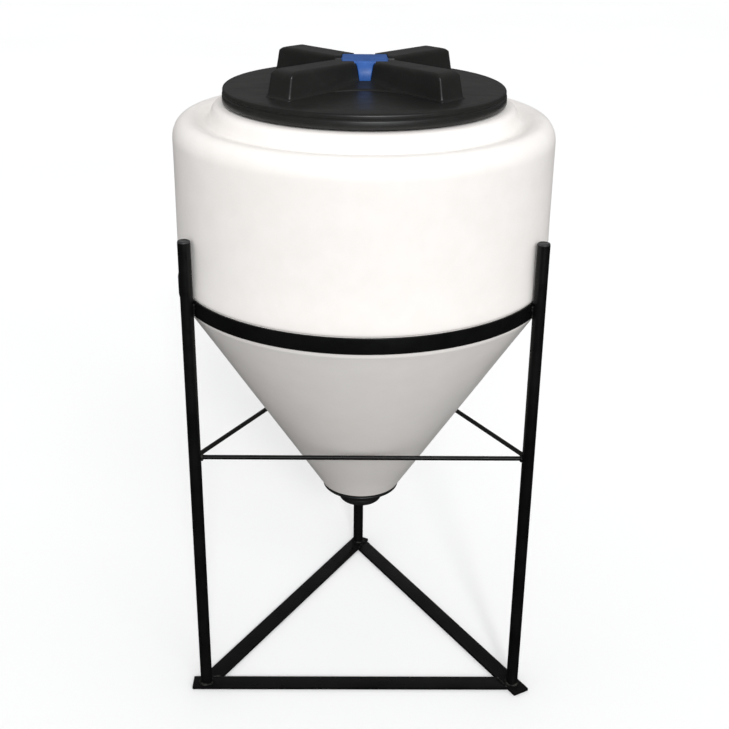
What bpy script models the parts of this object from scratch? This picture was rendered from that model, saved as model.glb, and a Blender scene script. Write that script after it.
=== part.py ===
"""A conical-bottom fermenting tank on a three-legged steel stand.

Metres, +Z up. The origin is on the floor, at the middle of the whole object's footprint. The rear
leg is at +Y, which puts the tank's axis a little towards -Y. The pieces are placed about that axis.
"""

from math import cos, pi, radians, sin, sqrt, tan

import bmesh
import bpy
from mathutils import Matrix, Vector

CLEAR = 0.0003  # gap between pieces that touch
CUT_PAST = 0.010  # how far a cutter runs past the faces it cuts

# Tank
TANK_R = 0.381
TANK_WALL = 0.006
TANK_SIDES = 48
WALL_TOP_Z = 1.205  # where the shoulder's curve begins
SHOULDER_IN = 0.031  # how far the shoulder's curve comes in
SHOULDER_UP = 0.040
CROWN_R = TANK_R - SHOULDER_IN
CROWN_Z = WALL_TOP_Z + SHOULDER_UP
# From the shoulder's crown down into the gutter and up the collar: radius, and height from CROWN_Z
GUTTER_OUTSIDE = (
    (0.337, -0.0015), (0.325, -0.0065), (0.316, -0.0090), (0.3105, -0.0065),
    (0.3065, 0.0010), (0.3025, 0.0140), (0.2975, 0.0205), (0.2910, 0.0240),
)
GUTTER_INSIDE = (
    (0.2925, 0.0165), (0.2970, 0.0110), (0.3010, -0.0030), (0.306, -0.0120),
    (0.316, -0.0152), (0.3265, -0.0122), (0.339, -0.0075),
)
COLLAR_TOP_Z = 1.270
COLLAR_FLAT_R = 0.284
MOUTH_R = 0.248
SLEEVE_BOTTOM_Z = 1.224
CONE_SLOPE = radians(57.5)
CONE_BOTTOM_R = 0.0865
CONE_BOTTOM_Z = 0.4225
PLATE_Z = 0.420  # underside of the flat at the cone's tip
PLATE_T = 0.007
OUTLET_HOLE_R = 0.0415

# Stand
RING_T = 0.0048
RING_H = 0.0317
RING_Z = 0.8865
RING_IN_R = 0.3792
RING_OUT_R = RING_IN_R + RING_T
SEAT_R = RING_IN_R - 0.0004
LEG_R = 0.0127
LEG_WALL = 0.0016
LEG_CIRCLE_R = RING_OUT_R + CLEAR + LEG_R
LEG_TOP_Z = 1.0385
LEG_SIDES = 20
LEG_ANGLES = {"left": radians(210), "right": radians(330), "rear": radians(90)}
CAP_HEAD_H = 0.0041
ROD_R = 0.00475
ROD_Z = 0.577
BAR_W = 0.0381
BAR_T = 0.00635
BAR_OVERRUN = {"front": 0.030, "left": 0.022, "right": 0.036}  # free end past the leg's axis
REAR_REACH = LEG_CIRCLE_R + BAR_OVERRUN["left"] * cos(radians(30)) + BAR_W / 4
AXIS_Y = (RING_OUT_R - REAR_REACH) / 2  # centres the footprint on the origin

# Lid
LID_R = 0.2806
LID_BOTTOM_Z = 1.2737
LID_EDGE_Z = 1.292
LID_FLANGE_Z = 1.276  # underside that bears on the gasket
LID_CROWN_Z = 1.310
LID_CROWN_DROP = 0.008  # crown height lost at the rim
LID_T = 0.0045
LID_SIDES = 48
GRIP_LENGTH = 0.2275  # half-length at the root
GRIP_TOP_LENGTH = 0.2130
GRIP_HALF_W = 0.0308
GRIP_TOP_HALF_W = 0.0288
GRIP_TOP_Z = 1.3555
GRIP_END_ROUND = 0.009
GRIP_EDGE_ROUND = 0.005
GRIP_ROOT_Z = 1.303
GRIP_HOLLOW_START = 0.070
GRIP_HOLLOW_LOW_Z = 1.285
SKIRT_R = 0.243
SKIRT_T = 0.007
SKIRT_BOTTOM_Z = 1.232
GASKET_T = 0.0054
GASKET_IN_R = 0.2525
GASKET_OUT_R = 0.2700

# Threads: lead, turns, height, root width, crest width, depth embedded in the wall
LID_THREAD = (0.012, 1.5, 0.0035, 0.0046, 0.0024, 0.002)
PLUG_THREAD = (0.005, 2, 0.002, 0.0020, 0.0010, 0.001)
THREAD_SINK = 0.0004  # how far a ridge's two ends dip into the wall
LID_THREAD_Z = 1.2365
TANK_THREAD_Z = LID_THREAD_Z + LID_THREAD[0] / 2
PLUG_THREAD_Z = 0.3835
DRAIN_THREAD_Z = PLUG_THREAD_Z + PLUG_THREAD[0] / 2

# Vent in the middle of the lid
VENT_TOP_Z = 1.3560
VENT_FLOOR_Z = 1.318
VENT_REACH = 0.0605
VENT_TOP_HALF_W = 0.0180
VENT_FOOT_HALF_W = 0.0115
VENT_REACH_TAPER = 0.0025  # how much shorter the lobes are at their foot
VENT_PLATE_HALF_W = 0.0445
VENT_PLATE_T = 0.005
VENT_GAP = 0.0007
VENT_SEAL_T = 0.0025
STEM_R = 0.004
STEM_BORE_R = 0.007
STEM_BOTTOM_Z = 1.272
STEM_TOP_Z = VENT_TOP_Z - 0.0125
HUB_R = 0.050
HUB_BOTTOM_Z = 1.3005
WEB_R = 0.096  # foot of the sloping web that fills the gaps between the grips
WEB_TOP_R = 0.060
WEB_TOP_Z = 1.3265
SPRING_R = 0.0092
SPRING_WIRE_R = 0.0008
SPRING_TURNS = 4
CLIP_R = 0.012
CLIP_Z = 1.2755
CLIP_T = 0.0025

# Drain
DRAIN_BOTTOM_Z = 0.371
DRAIN_HUB_R = 0.050
DRAIN_FLANGE_R = 0.084
DRAIN_FLANGE_T = 0.006
DRAIN_GASKET_T = 0.003
DRAIN_BARREL_R = 0.0375
DRAIN_BARREL_TOP_Z = 0.456
DRAIN_BORE_R = 0.029
DRAIN_EDGE_ROUND = 0.006
DRAIN_SIDES = 24
NUT_ACROSS = 0.106  # over its flats
NUT_H = 0.018
PLUG_HEAD_R = 0.0335
PLUG_HEAD_T = 0.005
PLUG_BODY_R = 0.026
PLUG_TOP_Z = 0.399
PLUG_SEAL_T = 0.003
PLUG_KEY_R = 0.0095  # hexagon socket, to its corners
PLUG_KEY_DEPTH = 0.014

WHITE_PLASTIC = ("tank_plastic", (0.83, 0.81, 0.78), 0.42, 0.0)
BLACK_STEEL = ("stand_paint", (0.014, 0.014, 0.015), 0.38, 0.0)
BLACK_PLASTIC = ("lid_plastic", (0.021, 0.021, 0.022), 0.40, 0.0)
CAP_PLASTIC = ("cap_plastic", (0.035, 0.035, 0.038), 0.45, 0.0)
BLUE_PLASTIC = ("vent_plastic", (0.045, 0.16, 0.55), 0.38, 0.0)
FITTING_PLASTIC = ("fitting_plastic", (0.012, 0.012, 0.013), 0.45, 0.0)
RUBBER = ("seal_rubber", (0.02, 0.02, 0.02), 0.8, 0.0)
STAINLESS = ("stainless", (0.62, 0.62, 0.60), 0.3, 1.0)


def clear_scene():
    for obj in list(bpy.data.objects):
        bpy.data.objects.remove(obj, do_unlink=True)


def material(finish):
    name, colour, roughness, metallic = finish
    found = bpy.data.materials.get(name)
    if found:
        return found
    made = bpy.data.materials.new(name)
    made.use_nodes = True
    shader = made.node_tree.nodes["Principled BSDF"]
    shader.inputs["Base Color"].default_value = (*colour, 1.0)
    shader.inputs["Roughness"].default_value = roughness
    shader.inputs["Metallic"].default_value = metallic
    return made


def empty(name, parent=None):
    made = bpy.data.objects.new(name, None)
    made.parent = parent
    bpy.context.scene.collection.objects.link(made)
    return made


def object_from(bm, name, finish, place=(0, 0, 0), turn=0.0, parent=None):
    """A named object from a bmesh whose points are relative to place, measured from the tank's axis."""
    bmesh.ops.recalc_face_normals(bm, faces=bm.faces[:])
    mesh = bpy.data.meshes.new(name)
    bm.to_mesh(mesh)
    bm.free()
    mesh.shade_smooth()
    mesh.set_sharp_from_angle(angle=radians(35))
    made = bpy.data.objects.new(name, mesh)
    made.location = place
    made.rotation_euler = (0, 0, turn)
    made.parent = parent or bpy.data.objects["tank_axis"]
    mesh.materials.append(material(finish))
    bpy.context.scene.collection.objects.link(made)
    return made


def combine(target, bm, name, operation):
    """Adds a shape to the target, or cuts it away. The shape itself isn't rendered."""
    other = object_from(bm, name, BLACK_PLASTIC, parent=target.parent)
    other.hide_render = True
    other.display_type = "WIRE"
    step = target.modifiers.new(name, "BOOLEAN")
    step.object = other
    step.operation = operation
    step.solver = "EXACT"


def turned(profile, sides):
    """A closed outline of (radius, height) points turned about Z."""
    bm = bmesh.new()
    rings = []
    for step in range(sides):
        angle = 2 * pi * step / sides
        rings.append([bm.verts.new((r * cos(angle), r * sin(angle), z)) for r, z in profile])
    for step in range(sides):
        here, there = rings[step], rings[(step + 1) % sides]
        for i in range(len(profile)):
            j = (i + 1) % len(profile)
            bm.faces.new((here[i], here[j], there[j], there[i]))
    bmesh.ops.remove_doubles(bm, verts=bm.verts[:], dist=1e-6)
    bmesh.ops.dissolve_degenerate(bm, edges=bm.edges[:], dist=1e-7)
    return bm


def prism(outline, low, high):
    """A flat outline of (x, y) points raised from low to high."""
    bm = bmesh.new()
    bottom = bm.faces.new([bm.verts.new((x, y, low)) for x, y in outline])
    top = bmesh.ops.extrude_face_region(bm, geom=[bottom])
    moved = [item for item in top["geom"] if isinstance(item, bmesh.types.BMVert)]
    bmesh.ops.translate(bm, verts=moved, vec=(0, 0, high - low))
    return bm


def lofted(low_outline, high_outline, low, high):
    """A closed solid between two flat outlines with the same number of points."""
    bm = bmesh.new()
    foot = [bm.verts.new((x, y, low)) for x, y in low_outline]
    head = [bm.verts.new((x, y, high)) for x, y in high_outline]
    count = len(foot)
    bm.faces.new(foot[::-1])
    bm.faces.new(head)
    for i in range(count):
        j = (i + 1) % count
        bm.faces.new((foot[i], foot[j], head[j], head[i]))
    return bm


def circle_points(radius, sides, start=0.0):
    return [
        (radius * cos(start + 2 * pi * i / sides), radius * sin(start + 2 * pi * i / sides))
        for i in range(sides)
    ]


def rod_between(start, end, radius, sides):
    """A round bar between two points."""
    start, end = Vector(start), Vector(end)
    bm = prism(circle_points(radius, sides), 0, (end - start).length)
    turn = Vector((0, 0, 1)).rotation_difference(end - start).to_matrix().to_4x4()
    bmesh.ops.transform(bm, matrix=Matrix.Translation(start) @ turn, verts=bm.verts[:])
    return bm


def thread_ridge(wall_r, thread, start_z, sides, outward):
    """A helical ridge on a wall, its ends run out into the wall. thread is one of the THREAD tuples."""
    lead, turns, height, root_w, crest_w, embed = thread
    sign = 1 if outward else -1
    run_out = sides // 8
    steps = int(turns * sides)
    bm = bmesh.new()
    rows = []
    for step in range(steps + 1):
        angle = 2 * pi * step / sides
        z = start_z + lead * step / sides
        rise = min(1.0, step / run_out, (steps - step) / run_out)
        crest = wall_r + sign * (height * rise - THREAD_SINK * (1 - rise))
        base = wall_r - sign * embed
        section = [(base, -root_w / 2), (crest, -crest_w / 2), (crest, crest_w / 2), (base, root_w / 2)]
        rows.append([bm.verts.new((r * cos(angle), r * sin(angle), z + dz)) for r, dz in section])
    bm.faces.new(rows[0])
    bm.faces.new(rows[-1][::-1])
    for here, there in zip(rows, rows[1:]):
        for i in range(4):
            j = (i + 1) % 4
            bm.faces.new((here[i], here[j], there[j], there[i]))
    bmesh.ops.triangulate(bm, faces=[face for face in bm.faces if len(face.verts) == 4])
    return bm


def arc(centre, radius, start, end, steps):
    """Points of a curve about centre, both ends included. radius is one number or two."""
    across, up = radius if isinstance(radius, tuple) else (radius, radius)
    return [
        (
            centre[0] + across * cos(start + (end - start) * i / steps),
            centre[1] + up * sin(start + (end - start) * i / steps),
        )
        for i in range(steps + 1)
    ]


def cone_z(radius):
    return CONE_BOTTOM_Z + (radius - CONE_BOTTOM_R) * tan(CONE_SLOPE)


def tank_outline():
    """The tank's section: outside going up, in through the mouth, and down inside."""
    ledge_z = RING_Z + RING_H + 0.0004
    outside = [(OUTLET_HOLE_R, PLATE_Z), (CONE_BOTTOM_R - 0.0025, PLATE_Z)]
    outside += [(CONE_BOTTOM_R, CONE_BOTTOM_Z), (SEAT_R - 0.0018, cone_z(SEAT_R - 0.0018))]
    outside += [(SEAT_R, RING_Z - 0.0012), (SEAT_R, ledge_z), (TANK_R + 0.0008, ledge_z + 0.0035)]
    outside += [(TANK_R + 0.0012, ledge_z + 0.016), (TANK_R, ledge_z + 0.055)]
    outside += arc((CROWN_R, WALL_TOP_Z), (SHOULDER_IN, SHOULDER_UP), 0, pi / 2, 5)
    outside += [(r, CROWN_Z + rise) for r, rise in GUTTER_OUTSIDE]
    outside += [(COLLAR_FLAT_R, COLLAR_TOP_Z)]
    mouth = [(MOUTH_R + 0.003, COLLAR_TOP_Z), (MOUTH_R, COLLAR_TOP_Z - 0.003)]
    mouth += [(MOUTH_R, SLEEVE_BOTTOM_Z), (MOUTH_R + TANK_WALL, SLEEVE_BOTTOM_Z)]
    wall_in = TANK_R - TANK_WALL
    side = TANK_WALL / sin(CONE_SLOPE)
    inside = [(MOUTH_R + TANK_WALL, COLLAR_TOP_Z - TANK_WALL)]
    inside += [(COLLAR_FLAT_R, COLLAR_TOP_Z - TANK_WALL)]
    inside += [(r, CROWN_Z + rise) for r, rise in GUTTER_INSIDE]
    inside += arc(
        (CROWN_R, WALL_TOP_Z), (SHOULDER_IN - TANK_WALL, SHOULDER_UP - TANK_WALL), pi / 2, 0, 4
    )
    inside += [(wall_in, ledge_z + 0.012), (SEAT_R - TANK_WALL, ledge_z - 0.004)]
    inside += [(SEAT_R - TANK_WALL, RING_Z + 0.002)]
    floor_z = PLATE_Z + PLATE_T
    floor_r = CONE_BOTTOM_R - side + (floor_z - CONE_BOTTOM_Z) / tan(CONE_SLOPE)
    inside += [(floor_r, floor_z), (OUTLET_HOLE_R, floor_z)]
    return outside + mouth + inside


def make_tank(parent):
    tank = object_from(
        turned(tank_outline(), TANK_SIDES), "tank_shell", WHITE_PLASTIC, parent=parent
    )
    ridge = thread_ridge(MOUTH_R, LID_THREAD, TANK_THREAD_Z, TANK_SIDES, False)
    combine(tank, ridge, "tank_thread", "UNION")


def leg_point(name, z=0.0, radius=LEG_CIRCLE_R):
    angle = LEG_ANGLES[name]
    return Vector((radius * cos(angle), radius * sin(angle), z))


def make_ring():
    outline = [
        (RING_IN_R, RING_Z),
        (RING_OUT_R, RING_Z),
        (RING_OUT_R, RING_Z + RING_H),
        (RING_IN_R, RING_Z + RING_H),
    ]
    object_from(turned(outline, TANK_SIDES), "support_ring", BLACK_STEEL)


def make_leg(name):
    foot_z = BAR_T + CLEAR
    inner = LEG_R - LEG_WALL
    tube = [(inner, foot_z), (LEG_R, foot_z), (LEG_R, LEG_TOP_Z), (inner, LEG_TOP_Z)]
    place = leg_point(name)
    turn = LEG_ANGLES[name]
    object_from(turned(tube, LEG_SIDES), "leg_" + name, BLACK_STEEL, place, turn)
    stem_r = inner - CLEAR
    seat_z = LEG_TOP_Z + CLEAR
    plug = [(0, LEG_TOP_Z - 0.018), (stem_r - 0.001, LEG_TOP_Z - 0.018)]
    plug += [(stem_r, LEG_TOP_Z - 0.016), (stem_r, seat_z), (LEG_R, seat_z), (LEG_R, seat_z + 0.0015)]
    plug += [(LEG_R - 0.0025, seat_z + 0.0033), (0, seat_z + CAP_HEAD_H)]
    object_from(turned(plug, LEG_SIDES), "leg_cap_" + name, CAP_PLASTIC, place, turn)


def make_brace(name, start, end):
    start, end = leg_point(start, ROD_Z), leg_point(end, ROD_Z)
    along = (end - start).normalized() * (LEG_R + CLEAR)
    object_from(rod_between(start + along, end - along, ROD_R, 12), name, BLACK_STEEL)


def base_bar_outline(name, start, end, neighbour_start, neighbour_end):
    """A flat bar with a square free end at start, its other end cut along the bar it butts against."""
    start, end = leg_point(start), leg_point(end)
    along = (end - start).normalized()
    across = Vector((-along.y, along.x, 0)) * BAR_W / 2
    free_end = start - along * BAR_OVERRUN[name]
    side = (leg_point(neighbour_end) - leg_point(neighbour_start)).normalized()
    normal = Vector((-side.y, side.x, 0))
    if (start - end).dot(normal) < 0:
        normal = -normal
    stop = leg_point(neighbour_start) + normal * (BAR_W / 2 + CLEAR)

    def cut(edge):
        reach = (stop - edge).dot(normal) / along.dot(normal)
        return edge + along * reach

    corners = [free_end - across, cut(free_end - across), cut(free_end + across), free_end + across]
    return [(point.x, point.y) for point in corners]


def make_stand():
    make_ring()
    for name in LEG_ANGLES:
        make_leg(name)
    make_brace("brace_front", "left", "right")
    make_brace("brace_left", "rear", "left")
    make_brace("brace_right", "right", "rear")
    for name, start, end, other in (
        ("front", "left", "right", "rear"),
        ("right", "right", "rear", "left"),
        ("left", "rear", "left", "right"),
    ):
        outline = base_bar_outline(name, start, end, end, other)
        object_from(prism(outline, 0, BAR_T), "base_bar_" + name, BLACK_STEEL)


def crown_z(radius):
    return LID_CROWN_Z - LID_CROWN_DROP * (radius / LID_R) ** 2


def lid_outline():
    """The lid's section without its grips: crowned disc, rim and threaded skirt."""
    edge_round = 0.0085
    shoulder_r = LID_R - edge_round
    radii = (0.0, 0.09, 0.18, 0.24, shoulder_r)
    top = [(r, crown_z(r)) for r in radii]
    rim = [(LID_R - 0.003, LID_EDGE_Z + 0.006), (LID_R, LID_EDGE_Z), (LID_R, LID_BOTTOM_Z)]
    rim += [(LID_R - 0.005, LID_BOTTOM_Z), (LID_R - 0.005, LID_FLANGE_Z)]
    skirt_in = SKIRT_R - SKIRT_T
    skirt = [(SKIRT_R, LID_FLANGE_Z), (SKIRT_R, SKIRT_BOTTOM_Z + 0.002)]
    skirt += [(SKIRT_R - 0.002, SKIRT_BOTTOM_Z), (skirt_in, SKIRT_BOTTOM_Z)]
    under = [(r, crown_z(r) - LID_T) for r in (skirt_in, 0.16, 0.08)]
    return top + rim + skirt + under + [(0.0, crown_z(0) - LID_T)]


def grip_outline(half_length, half_width):
    return [
        (-half_length, -half_width),
        (half_length, -half_width),
        (half_length, half_width),
        (-half_length, half_width),
    ]


def grip_bar(angle):
    """One straight bar right across the lid, rounded along its top edges and more at its ends."""
    bm = lofted(
        grip_outline(GRIP_LENGTH, GRIP_HALF_W),
        grip_outline(GRIP_TOP_LENGTH, GRIP_TOP_HALF_W),
        GRIP_ROOT_Z,
        GRIP_TOP_Z,
    )
    ends = [
        edge
        for edge in bm.edges
        if all(v.co.z > GRIP_TOP_Z - 1e-6 for v in edge.verts)
        and abs(edge.verts[0].co.x - edge.verts[1].co.x) < 1e-6
    ]
    bmesh.ops.bevel(
        bm, geom=ends, offset=GRIP_END_ROUND, segments=3, profile=0.5, affect="EDGES"
    )
    sides = [
        edge
        for edge in bm.edges
        if all(abs(v.co.z - GRIP_TOP_Z) < 1e-5 for v in edge.verts)
        and abs(edge.verts[0].co.y - edge.verts[1].co.y) < 1e-6
    ]
    bmesh.ops.bevel(
        bm, geom=sides, offset=GRIP_EDGE_ROUND, segments=1, profile=0.5, affect="EDGES"
    )
    bmesh.ops.rotate(bm, verts=bm.verts[:], matrix=Matrix.Rotation(angle, 3, "Z"))
    return bm


def grip_hollow(angle):
    """The space under one grip, open below."""
    half_width = GRIP_TOP_HALF_W - LID_T
    start, end = GRIP_HOLLOW_START, GRIP_LENGTH - LID_T - 0.001
    outline = [(start, -half_width), (end, -half_width), (end, half_width), (start, half_width)]
    short = GRIP_TOP_LENGTH - GRIP_END_ROUND
    roof = [(start, -half_width), (short, -half_width), (short, half_width), (start, half_width)]
    bm = lofted(outline, roof, GRIP_HOLLOW_LOW_Z, GRIP_TOP_Z - LID_T)
    bmesh.ops.rotate(bm, verts=bm.verts[:], matrix=Matrix.Rotation(angle, 3, "Z"))
    return bm


def cross_outline(reach, half_width):
    """A plus shape of four equal lobes."""
    lobe = [(half_width, reach), (-half_width, reach), (-half_width, half_width)]
    points = []
    for quarter in range(4):
        angle = quarter * pi / 2
        for x, y in lobe:
            points.append((x * cos(angle) - y * sin(angle), x * sin(angle) + y * cos(angle)))
    return points


def vent_plate(grow, high):
    """The square plate on top of the vent's lobes."""
    reach = VENT_PLATE_HALF_W + grow
    return prism(grip_outline(reach, reach), VENT_TOP_Z - VENT_PLATE_T - grow, high)


def vent_cross(grow, low, high):
    """The vent's plus shape, narrower at its foot than at its top."""
    height = VENT_TOP_Z - VENT_FLOOR_Z
    widths = []
    reaches = []
    for z in (low, high):
        share = (z - VENT_FLOOR_Z) / height
        widths.append(VENT_FOOT_HALF_W + (VENT_TOP_HALF_W - VENT_FOOT_HALF_W) * share + grow)
        reaches.append(VENT_REACH - VENT_REACH_TAPER * (1 - share) + grow)
    return lofted(
        cross_outline(reaches[0], widths[0]), cross_outline(reaches[1], widths[1]), low, high
    )


def make_lid(parent):
    lid = object_from(turned(lid_outline(), LID_SIDES), "lid", BLACK_PLASTIC, parent=parent)
    for i in range(2):
        combine(lid, grip_bar(pi / 4 + i * pi / 2), f"grip_bar_{i}", "UNION")
    for i in range(4):
        combine(lid, grip_hollow(pi / 4 + i * pi / 2), f"grip_hollow_{i}", "DIFFERENCE")
    web_foot_z = crown_z(WEB_R) - 0.001
    hub = [(0, HUB_BOTTOM_Z), (HUB_R, HUB_BOTTOM_Z), (HUB_R, web_foot_z)]
    hub += [(WEB_R, web_foot_z), (WEB_TOP_R, WEB_TOP_Z), (0, WEB_TOP_Z)]
    combine(lid, turned(hub, LID_SIDES), "hub", "UNION")
    pocket = vent_cross(VENT_GAP, VENT_FLOOR_Z, VENT_TOP_Z + CUT_PAST)
    combine(lid, pocket, "vent_pocket", "DIFFERENCE")
    plate = vent_plate(VENT_GAP, VENT_TOP_Z + 2 * CUT_PAST)
    combine(lid, plate, "vent_plate_pocket", "DIFFERENCE")
    bore = prism(circle_points(STEM_BORE_R, 16), HUB_BOTTOM_Z - CUT_PAST, VENT_FLOOR_Z + CUT_PAST)
    combine(lid, bore, "stem_bore", "DIFFERENCE")
    ridge = thread_ridge(SKIRT_R, LID_THREAD, LID_THREAD_Z, LID_SIDES, True)
    combine(lid, ridge, "lid_thread", "UNION")


def make_lid_gasket(parent):
    low = COLLAR_TOP_Z + CLEAR
    high = low + GASKET_T
    outline = [(GASKET_IN_R, low), (GASKET_OUT_R, low), (GASKET_OUT_R, high), (GASKET_IN_R, high)]
    object_from(turned(outline, LID_SIDES), "lid_gasket", RUBBER, parent=parent)


def spring_coil(low, high):
    """A wire wound in a helix, cut square at both ends."""
    bm = bmesh.new()
    sides, per_turn = 6, 12
    steps = SPRING_TURNS * per_turn
    first_z = low + SPRING_WIRE_R
    rise = high - low - 2 * SPRING_WIRE_R
    rows = []
    for step in range(steps + 1):
        angle = 2 * pi * step / per_turn
        z = first_z + rise * step / steps
        row = []
        for i in range(sides):
            around = 2 * pi * i / sides
            r = SPRING_R + SPRING_WIRE_R * cos(around)
            height = z + SPRING_WIRE_R * sin(around)
            row.append(bm.verts.new((r * cos(angle), r * sin(angle), height)))
        rows.append(row)
    bm.faces.new(rows[0])
    bm.faces.new(rows[-1][::-1])
    for here, there in zip(rows, rows[1:]):
        for i in range(sides):
            j = (i + 1) % sides
            bm.faces.new((here[i], here[j], there[j], there[i]))
    return bm


def make_vent(parent, lid_body):
    seat_z = VENT_FLOOR_Z + VENT_SEAL_T
    lobes = vent_cross(0, seat_z, VENT_TOP_Z - VENT_PLATE_T / 2)
    cap = object_from(lobes, "vent_cap", BLUE_PLASTIC, parent=parent)
    combine(cap, vent_plate(0, VENT_TOP_Z), "vent_plate", "UNION")
    socket = prism(circle_points(STEM_R + CLEAR, 16), seat_z - CUT_PAST, STEM_TOP_Z + CLEAR)
    combine(cap, socket, "stem_socket", "DIFFERENCE")
    stem = [(0, STEM_BOTTOM_Z), (STEM_R, STEM_BOTTOM_Z), (STEM_R, STEM_TOP_Z), (0, STEM_TOP_Z)]
    object_from(turned(stem, 16), "vent_stem", STAINLESS, parent=parent)
    low, high = VENT_FLOOR_Z + CLEAR, seat_z - CLEAR
    seal_in, seal_out = STEM_BORE_R + 0.0012, VENT_FOOT_HALF_W - 0.0005
    seal = [(seal_in, low), (seal_out, low), (seal_out, high), (seal_in, high)]
    object_from(turned(seal, 24), "vent_seal", RUBBER, parent=parent)
    clip_in = STEM_R + CLEAR
    clip = [(clip_in, CLIP_Z), (CLIP_R, CLIP_Z), (CLIP_R, CLIP_Z + CLIP_T), (clip_in, CLIP_Z + CLIP_T)]
    object_from(turned(clip, 24), "vent_clip", STAINLESS, parent=parent)
    coil = spring_coil(CLIP_Z + CLIP_T + CLEAR, HUB_BOTTOM_Z - CLEAR)
    object_from(coil, "vent_spring", STAINLESS, parent=lid_body)


def make_drain(parent):
    flange_top = PLATE_Z - 2 * CLEAR - DRAIN_GASKET_T
    low = flange_top + CLEAR
    gasket_in, gasket_out = DRAIN_BARREL_R + 0.0015, DRAIN_FLANGE_R - 0.006
    gasket = [(gasket_in, low), (gasket_out, low)]
    gasket += [(gasket_out, low + DRAIN_GASKET_T), (gasket_in, low + DRAIN_GASKET_T)]
    object_from(turned(gasket, DRAIN_SIDES), "drain_gasket", RUBBER, parent=parent)
    edge = DRAIN_EDGE_ROUND
    recess_r = PLUG_HEAD_R + 0.0010
    recess_z = DRAIN_BOTTOM_Z + PLUG_HEAD_T + PLUG_SEAL_T + 3 * CLEAR
    body = [(recess_r, DRAIN_BOTTOM_Z)]
    body += arc((DRAIN_HUB_R - edge, DRAIN_BOTTOM_Z + edge), edge, -pi / 2, 0, 3)
    body += [(DRAIN_HUB_R, flange_top - DRAIN_FLANGE_T), (DRAIN_FLANGE_R, flange_top - DRAIN_FLANGE_T)]
    body += [(DRAIN_FLANGE_R, flange_top), (DRAIN_BARREL_R, flange_top)]
    body += [(DRAIN_BARREL_R, DRAIN_BARREL_TOP_Z), (DRAIN_BORE_R, DRAIN_BARREL_TOP_Z)]
    body += [(DRAIN_BORE_R, recess_z), (recess_r, recess_z)]
    fitting = object_from(
        turned(body, DRAIN_SIDES), "drain_fitting", FITTING_PLASTIC, parent=parent
    )
    ridge = thread_ridge(DRAIN_BORE_R, PLUG_THREAD, DRAIN_THREAD_Z, DRAIN_SIDES, False)
    combine(fitting, ridge, "drain_thread", "UNION")
    low = PLATE_Z + PLATE_T + CLEAR
    high = low + NUT_H
    hexagon = prism(circle_points(NUT_ACROSS / sqrt(3), 6), low, high)
    nut = object_from(hexagon, "drain_nut", FITTING_PLASTIC, parent=parent)
    hole = circle_points(DRAIN_BARREL_R + CLEAR, DRAIN_SIDES)
    combine(nut, prism(hole, low - CUT_PAST, high + CUT_PAST), "nut_hole", "DIFFERENCE")


def make_plug(parent, seal_parent):
    head_low = DRAIN_BOTTOM_Z + 0.0005
    head_high = DRAIN_BOTTOM_Z + PLUG_HEAD_T
    plug = [(0, head_low), (PLUG_HEAD_R, head_low), (PLUG_HEAD_R, head_high)]
    plug += [(PLUG_BODY_R, head_high), (PLUG_BODY_R, PLUG_TOP_Z - 0.001)]
    plug += [(PLUG_BODY_R - 0.001, PLUG_TOP_Z), (0, PLUG_TOP_Z)]
    body = object_from(turned(plug, DRAIN_SIDES), "drain_plug", FITTING_PLASTIC, parent=parent)
    socket = prism(circle_points(PLUG_KEY_R, 6), head_low - CUT_PAST, head_low + PLUG_KEY_DEPTH)
    combine(body, socket, "key_socket", "DIFFERENCE")
    ridge = thread_ridge(PLUG_BODY_R, PLUG_THREAD, PLUG_THREAD_Z, DRAIN_SIDES, True)
    combine(body, ridge, "plug_thread", "UNION")
    low = head_high + CLEAR
    seal_in, seal_out = PLUG_BODY_R + 0.0032, PLUG_HEAD_R - 0.0005
    seal = [(seal_in, low), (seal_out, low), (seal_out, low + PLUG_SEAL_T), (seal_in, low + PLUG_SEAL_T)]
    object_from(turned(seal, DRAIN_SIDES), "plug_seal", RUBBER, parent=seal_parent)


def main():
    clear_scene()
    axis = empty("tank_axis")
    axis.location = (0, AXIS_Y, 0)
    tank = empty("tank_lift_axis", axis)
    lid_rise = empty("lid_rise_axis", tank)
    lid_turn = empty("lid_turn_axis", lid_rise)
    vent = empty("vent_axis", lid_turn)
    plug_drop = empty("plug_drop_axis", tank)
    plug_turn = empty("plug_turn_axis", plug_drop)
    make_stand()
    make_tank(tank)
    make_drain(tank)
    make_lid_gasket(lid_rise)
    make_lid(lid_turn)
    make_vent(vent, lid_turn)
    make_plug(plug_turn, plug_drop)


main()
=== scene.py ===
"""The looks of a conical-bottom fermenting tank on its steel stand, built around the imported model.

Every mesh is drawn about the tank's upright axis, and its object is then placed on that axis.
"""

from math import atan2, cos, hypot, pi, radians, sin, tan

import bmesh
import bpy
from mathutils import Matrix, Vector, noise


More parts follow.
